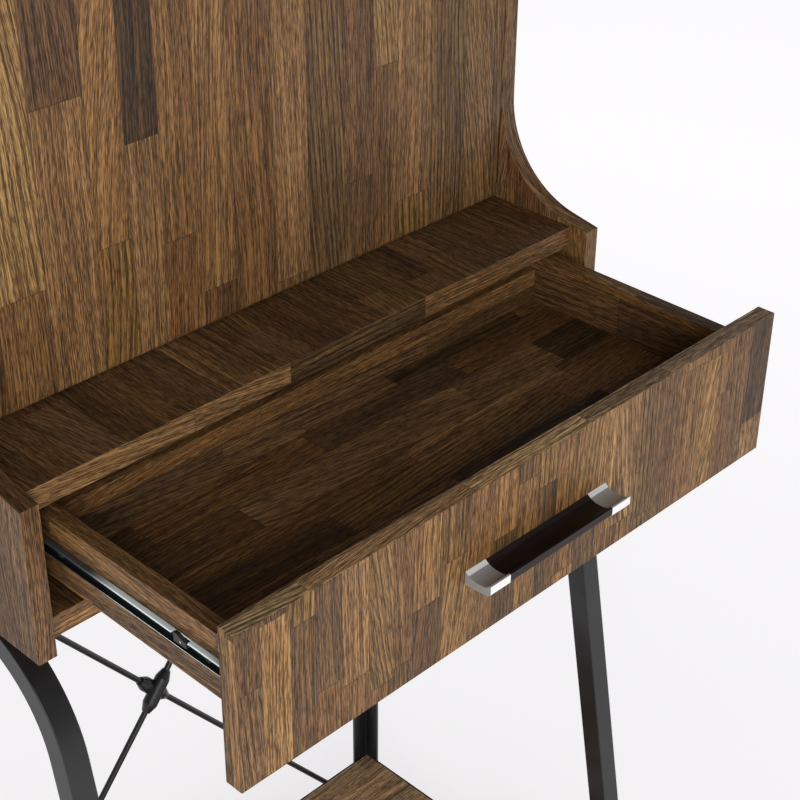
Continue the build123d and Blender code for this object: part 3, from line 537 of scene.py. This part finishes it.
def join(made, lower, upper, smooth=True):
    """Faces between two rings with as many points as each other."""
    for i, vert in enumerate(lower):
        after = (i + 1) % len(lower)
        made.faces.new((vert, lower[after], upper[after], upper[i])).smooth = smooth


def turned(made, profile, where, sides=ROUND):
    """Rings along a (radius, height) profile, joined; the last ring is returned open."""
    rings = [ring(made, radius, height, where, sides) for radius, height in profile]
    made.faces.new(rings[0])
    for lower, upper in zip(rings, rings[1:]):
        join(made, lower, upper)
    return rings[-1]


def loop_edges(made, verts):
    """The edges round a closed loop of points, made where there are none."""
    pairs = [(vert, verts[i - 1]) for i, vert in enumerate(verts)]
    return [made.edges.get(pair) or made.edges.new(pair) for pair in pairs]


def recess(made, rim, outline, height, depth, where):
    """Closes a rim with a flat face that has a sunk recess of the given outline."""
    levels = [(1.0, height), (0.86, height - depth)]
    edge, floor = [[made.verts.new(where @ Vector((k * x, k * y, z))) for x, y in outline] for k, z in levels]
    edges = loop_edges(made, rim) + loop_edges(made, edge)
    bmesh.ops.triangle_fill(made, use_beauty=True, edges=edges)
    join(made, edge, floor, smooth=False)
    made.faces.new(floor)


def cross_outline(reach, half):
    """A cross with arms that reach out from the middle, each twice half wide."""
    arm = [(half, half), (reach, half), (reach, -half)]
    quarter_turns = ((1, 0), (0, -1), (-1, 0), (0, 1))  # cosine and sine
    return [(x * c - y * s, x * s + y * c) for c, s in quarter_turns for x, y in arm]


def screw(made, place, direction, radius, height, shank_r, length):
    """A screw with a domed head and a cross recess."""
    where = facing(place, direction)
    profile = [(0.2 * shank_r, -length), (shank_r, -length + 2 * shank_r), (shank_r, 0), (radius, 0),
               (radius, 0.30 * height), (0.95 * radius, 0.62 * height), (0.83 * radius, 0.88 * height),
               (0.66 * radius, height)]
    rim = turned(made, profile, where)
    recess(made, rim, cross_outline(0.50 * radius, 0.12 * radius), height, 0.55 * height, where)


def socket_bolt(made, place, direction, radius, height, shank_r, length):
    """A button-headed bolt with a hexagon socket and a threaded shank."""
    where = facing(place, direction)
    half_pitch, root_depth = THREAD_PITCH / 2, THREAD_PITCH / 3
    thread = [(shank_r - (root_depth if i % 2 else 0), -length + i * half_pitch)
              for i in range(1, THREAD_STEPS + 1)]
    profile = [(0.7 * shank_r, -length)] + thread
    profile += [(shank_r, 0), (radius, 0), (radius, 0.25 * height), (0.94 * radius, 0.60 * height),
                (0.80 * radius, 0.88 * height), (0.62 * radius, height)]
    rim = turned(made, profile, where)
    socket_r = 0.44 * radius
    recess(made, rim, [on_circle(socket_r, i / 6) for i in range(6)], height, 0.6 * height, where)


def nut(made, place, direction, radius, height, bore_r):
    """A hexagon nut with chamfered corners and a bored middle."""
    where = facing(place, direction)
    flat = radius * math.cos(math.pi / 6)
    chamfer_r = 0.96 * flat
    steps = [(chamfer_r, chamfer_r, 0.0), (radius, flat, 0.16 * height), (radius, flat, 0.84 * height),
             (chamfer_r, chamfer_r, height)]
    sides = 12  # six corners and the middles of six sides
    rings = []
    for corner_r, middle_r, level_z in steps:
        spots = [on_circle(corner_r if i % 2 else middle_r, i / sides) for i in range(sides)]
        rings.append([made.verts.new(where @ Vector((x, y, level_z))) for x, y in spots])
    for lower, upper in zip(rings, rings[1:]):
        join(made, lower, upper, smooth=False)
    bore = [ring(made, bore_r, level_z, where, sides) for level_z in (0.0, height)]
    join(made, bore[0], bore[1])
    join(made, rings[0], bore[0], smooth=False)
    join(made, rings[-1], bore[1], smooth=False)


def weld(made, start, run):
    """A weld bead with the ripples of its run, its ends closed."""
    per_ripple, sides = 3, 10
    count = max(4, int(run.length / RIPPLE)) * per_ripple
    profile = []
    for i in range(count + 1):
        swell = 0.84 + 0.16 * math.sin(math.pi * (i % per_ripple) / per_ripple) + turns.uniform(-0.04, 0.04)
        end_taper = min(1.0, 0.35 + 0.25 * min(i, count - i))
        profile.append((BEAD_R * swell * end_taper, run.length * i / count))
    made.faces.new(turned(made, profile, along_z(start, run), sides))


def mirrored(x, y, z):
    """A place and its mirror image on the other side of the desk."""
    return [Vector((side * x, y, z)) for side in (-1, 1)]


def ends(low, high, inset):
    """Two places along an axis, inset from the ends of a range."""
    return low + inset, high - inset


def back_screws(made):
    low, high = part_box("back_panel_screws")
    head_r, head_t, shank_r, length = 3.5 * MM, 1.5 * MM, 1.5 * MM, 14 * MM
    shelf_low, shelf_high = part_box("shelf_board")
    bottom_z, top_z = ends(low.z, high.z, head_r)
    left_x, right_x = ends(low.x, high.x, head_r)
    for z in (bottom_z, (shelf_low.z + shelf_high.z) / 2, top_z):
        for x in (left_x, 0, right_x):
            screw(made, (x, high.y - head_t, z), (0, 1, 0), head_r, head_t, shank_r, length)


def shelf_screws(made):
    low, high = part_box("low_shelf_screws")
    head_r, head_t, shank_r, length = 3.5 * MM, 2 * MM, 1.75 * MM, 12 * MM
    for x in ends(low.x, high.x, head_r):
        for y in ends(low.y, high.y, head_r):
            screw(made, (x, y, low.z + head_t), (0, 0, -1), head_r, head_t, shank_r, length)


def slide_screws(node, inward):
    """Screws through a pair of slide members; inward is 1 where the heads look at the drawer."""
    def build(made):
        low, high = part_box(node)
        head_r, head_t, shank_r, length = 3 * MM, 1.3 * MM, 1.75 * MM, 10 * MM
        z = (low.z + high.z) / 2
        web_x = low.x + length if inward > 0 else low.x + head_t
        for y in ends(low.y, high.y, head_r):
            for place in mirrored(-web_x, y, z):
                way = (inward * (-1 if place.x > 0 else 1), 0, 0)
                screw(made, place, way, head_r, head_t, shank_r, length)
    return build


def handle_screws(node):
    """The two screws of a pull, driven from behind."""
    def build(made):
        low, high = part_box(node)
        head_r, head_t, shank_r, length = 1.9 * MM, 1.9 * MM, 1.5 * MM, 23 * MM
        z = (low.z + high.z) / 2
        for x in ends(low.x, high.x, head_r):
            screw(made, (x, high.y - head_t, z), (0, 1, 0), head_r, head_t, shank_r, length)
    return build


BRACE_BOLT_HEAD_R = 4.2 * MM


def brace_bolts(made):
    low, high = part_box("brace_bolts")
    head_r, head_t, shank_r = BRACE_BOLT_HEAD_R, 3 * MM, 2.5 * MM
    length = high.y - low.y - head_t
    for x in ends(low.x, high.x, head_r):
        for z in ends(low.z, high.z, head_r):
            socket_bolt(made, (x, low.y + head_t, z), (0, -1, 0), head_r, head_t, shank_r, length)


def brace_nuts(made):
    low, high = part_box("brace_bolts")
    nut_low, nut_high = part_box("brace_nuts")
    nut_r, bore_r = 4.6 * MM, 2.45 * MM
    for x in ends(low.x, high.x, BRACE_BOLT_HEAD_R):
        for z in ends(low.z, high.z, BRACE_BOLT_HEAD_R):
            nut(made, (x, nut_low.y, z), (0, 1, 0), nut_r, nut_high.y - nut_low.y, bore_r)


def frame_bolts(made):
    low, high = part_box("frame_bolts")
    head_r, head_t, shank_r = 4.5 * MM, 4 * MM, 2.5 * MM
    length = high.z - low.z - head_t
    for x in ends(low.x, high.x, head_r):
        for y in ends(low.y, high.y, head_r):
            socket_bolt(made, (x, y, low.z + head_t), (0, 0, -1), head_r, head_t, shank_r, length)


def welds(made):
    """Beads up the side rails at both legs, under the rear ends of the front legs' top runs, and along the front
    rail's lower edge beside the legs."""
    rail_low, rail_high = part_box("left_low_shelf_rail")
    rear_leg_low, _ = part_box("left_rear_leg")
    front_rail_low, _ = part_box("front_low_shelf_rail")
    front_leg_low, front_leg_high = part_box("left_front_leg")
    sunk = 0.4 * MM
    bottom_z, top_z = ends(rail_low.z, rail_high.z, BEAD_R)
    for y in (rail_low.y, rear_leg_low.y - sunk):
        for start in mirrored(rail_low.x + 1 * MM, y, bottom_z):
            weld(made, start, Vector((0, 0, top_z - bottom_z)))
    across = [
        (front_leg_high.y - sunk, front_leg_high.z - TUBE, TUBE - 5 * MM),
        (front_rail_low.y, rail_low.z, TUBE - 4 * MM),
    ]
    for y, z, length in across:
        for start in mirrored(front_leg_low.x + 2 * MM, y, z):
            weld(made, start, Vector((math.copysign(length, -start.x), 0, 0)))


def catch_plates(made):
    """Two steel pole plates, one above the other, at the front of the magnetic catch."""
    low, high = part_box("leaf_catch")
    stand, plate_t, plate_depth, inset = 0.25 * MM, 1.2 * MM, 2 * MM, 4 * MM
    off_middle = 2.4 * MM
    middle_z = (low.z + high.z) / 2
    size = Matrix.Diagonal((high.x - low.x - 2 * inset, plate_depth, plate_t, 1))
    for z in (middle_z - off_middle, middle_z + off_middle):
        place = Matrix.Translation((0, low.y + plate_depth / 2 - stand, z))
        bmesh.ops.create_cube(made, size=1, matrix=place @ size)
    bmesh.ops.bevel(made, geom=list(made.edges), offset=0.1 * MM, segments=2, affect="EDGES")


ZINC = FINISHES["zinc_screws"]
BLACK = FINISHES["black_fasteners"]
add_piece("back_panel_screw_set", back_screws, "frame", "zinc_screws", ZINC, "back_panel_screws")
add_piece("low_shelf_screw_set", shelf_screws, "frame", "zinc_screws", ZINC, "low_shelf_screws")
add_piece("cabinet_slide_screw_set", slide_screws("cabinet_slide_screws", 1), "frame", "zinc_screws", ZINC,
          "cabinet_slide_screws")
# drawer slide screws in black as painted shade, for the shaded channel they sit in
add_piece("drawer_slide_screw_set", slide_screws("drawer_slide_screws", -1), "drawer", "zinc_screws", BLACK,
          "drawer_slide_screws")
add_piece("handle_screw_set", handle_screws("handle_screws"), "drawer", "zinc_screws", ZINC, "handle_screws")
add_piece("leaf_handle_screw_set", handle_screws("leaf_handle_screws"), "leaf", "zinc_screws", ZINC,
          "leaf_handle_screws")
add_piece("brace_bolt_set", brace_bolts, "frame", "black_fasteners", BLACK, "brace_bolts")
add_piece("brace_nut_set", brace_nuts, "frame", "black_fasteners", BLACK, "brace_nuts")
add_piece("frame_bolt_set", frame_bolts, "frame", "black_fasteners", BLACK, "frame_bolts")
add_piece("weld_beads", welds, "frame", "black_steel", FINISHES["black_steel"])
add_piece("catch_pole_plates", catch_plates, "frame", "zinc_screws", ZINC)

# ---- studio ----
FLOOR_SIZE = 30.0
# the floor's glow near the desk and away from it; the dimmer glow near the desk is painted shade
FLOOR_GLOW_AND_SHADE = (0.70, 0.85)  # near the desk and away from it


def studio_floor():
    """A wide pale floor just under the feet. It glows; the glow is dimmer near the desk, as painted shade."""
    mesh = bpy.data.meshes.new("floor")
    half = FLOOR_SIZE / 2
    corners = [(-half, -half, 0), (half, -half, 0), (half, half, 0), (-half, half, 0)]
    mesh.from_pydata(corners, [], [(0, 1, 2, 3)])
    floor = bpy.data.objects.new("floor", mesh)
    bpy.context.scene.collection.objects.link(floor)
    made, g, shader = new_material("pale_floor")
    distance = g.node("ShaderNodeVectorMath", operation="LENGTH")
    g.feed(distance.inputs[0], g.node("ShaderNodeTexCoord").outputs["Object"])
    shader.inputs["Base Color"].default_value = (0.46, 0.455, 0.46, 1)
    shader.inputs["Roughness"].default_value = 0.85
    shader.inputs["Emission Color"].default_value = (1.0, 0.985, 1.0, 1)
    g.feed(shader.inputs["Emission Strength"], g.spread(distance.outputs["Value"], 0.2, 2.6, *FLOOR_GLOW_AND_SHADE))
    mesh.materials.append(made)


def area_light(name, place, target, size, power):
    """A rectangular light at a place, aimed at a target."""
    lamp = bpy.data.lights.new(name, "AREA")
    lamp.shape = "RECTANGLE"
    lamp.size, lamp.size_y = size
    lamp.energy = power
    made = bpy.data.objects.new(name, lamp)
    made.location = place
    made.rotation_euler = (Vector(target) - Vector(place)).to_track_quat("-Z", "Y").to_euler()
    bpy.context.scene.collection.objects.link(made)


def studio_world():
    """Soft surroundings, bright at the horizon and dimmer overhead."""
    world = bpy.data.worlds.new("studio")
    bpy.context.scene.world = world
    world.use_nodes = True
    g = Graph(world.node_tree)
    ray = g.parts(g.node("ShaderNodeTexCoord").outputs["Generated"])
    sky = g.ramp(ray[2], ((0.0, (0.95, 0.95, 0.96)), (0.16, (0.66, 0.66, 0.67)), (0.45, (0.24, 0.24, 0.25)),
                          (1.0, (0.07, 0.07, 0.08))))
    background = world.node_tree.nodes["Background"]
    g.feed(background.inputs["Color"], sky)
    background.inputs["Strength"].default_value = 0.8


studio_floor()
studio_world()
desk_middle = (cad_low + cad_high) / 2
area_light("key", (-1.9, -2.6, 1.9), desk_middle, (1.8, 1.8), 72.0)
area_light("side", (2.6, -1.4, 1.5), desk_middle, (1.6, 2.0), 6.0)
area_light("back", (0.6, 2.6, 2.2), desk_middle, (2.0, 1.4), 10.0)

# ---- camera: places in widths of the drawer front, from its lower left front corner ----
CAMERA_OFFSET = Vector((-0.9105, -1.1284, 1.4194))
CAMERA_AZIMUTH = -45.77
CAMERA_ELEVATION = 31.90
CAMERA_ROLL = 0.486
LENS_MM = 79.05

front_low, front_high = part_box("drawer_front")
azimuth, elevation, roll = (math.radians(a) for a in (CAMERA_AZIMUTH, CAMERA_ELEVATION, CAMERA_ROLL))
camera = bpy.data.objects.new("camera", bpy.data.cameras.new("camera"))
camera.data.lens = LENS_MM
camera.data.sensor_width = 36.0
camera.rotation_mode = "QUATERNION"
look_back = Vector((math.sin(azimuth) * math.cos(elevation), -math.cos(azimuth) * math.cos(elevation),
                    math.sin(elevation)))
level = Vector((math.cos(azimuth), math.sin(azimuth), 0))
camera.location = front_low + CAMERA_OFFSET * (front_high.x - front_low.x)
axes = Matrix((level, look_back.cross(level), look_back)).transposed()
camera.rotation_quaternion = (axes @ Matrix.Rotation(roll, 3, "Z")).to_quaternion()
bpy.context.scene.collection.objects.link(camera)
bpy.context.scene.camera = camera
bpy.context.scene.view_settings.view_transform = "Standard"
